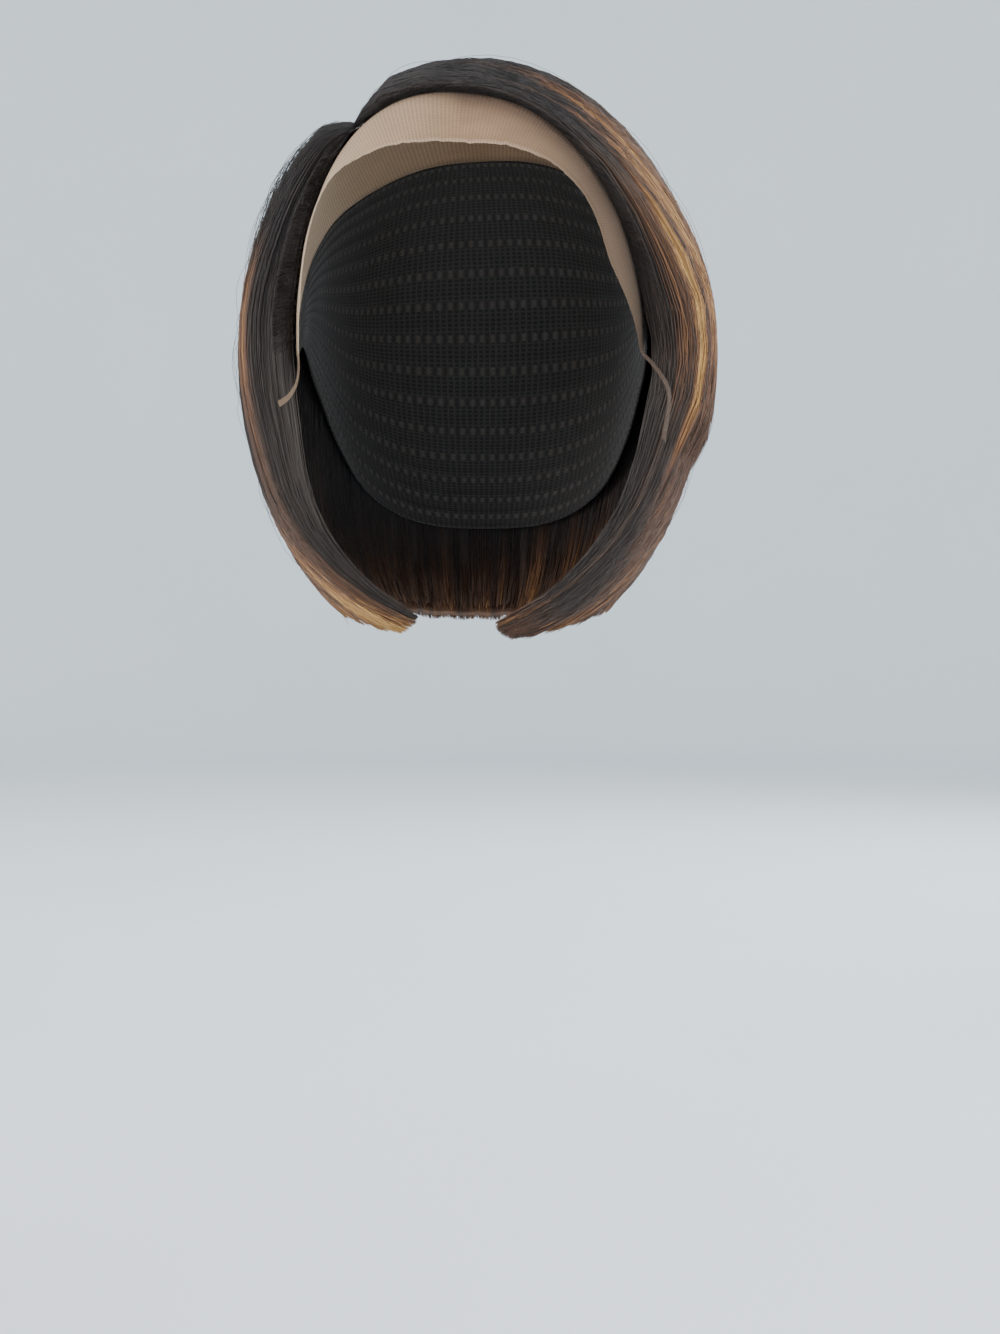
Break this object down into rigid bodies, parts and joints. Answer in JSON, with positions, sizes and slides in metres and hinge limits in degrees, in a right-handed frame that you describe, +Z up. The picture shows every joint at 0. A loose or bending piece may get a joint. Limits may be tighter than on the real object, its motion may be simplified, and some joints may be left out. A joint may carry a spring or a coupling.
{
  "type": "bob wig",
  "caption": "Side-parted chin-length bob wig: lace front with loose tails, wefted cap, and hair in thick walls that curl in at the hem.",
  "frame": {"origin": "inside top of the crown, where the wig sits on the head, on the head's upright axis", "axes": "+Z up, the face towards -Y, +X to the right of someone who faces the wig"},
  "size_m": [0.2114, 0.1975, 0.2521],
  "materials": {
    "hair": "straight hair fibre, off-black at the roots to copper brown at the tips, silky",
    "lace": "sheer tan net, matte",
    "cap_net": "black stretch net with sewn rows of hair, matte"
  },
  "bodies": {
    "root": {"lace_front": "lace", "wefted_cap": "cap_net", "heavy_side_hair": "hair", "back_hair": "hair", "light_side_hair": "hair"}
  },
  "joints": []
}
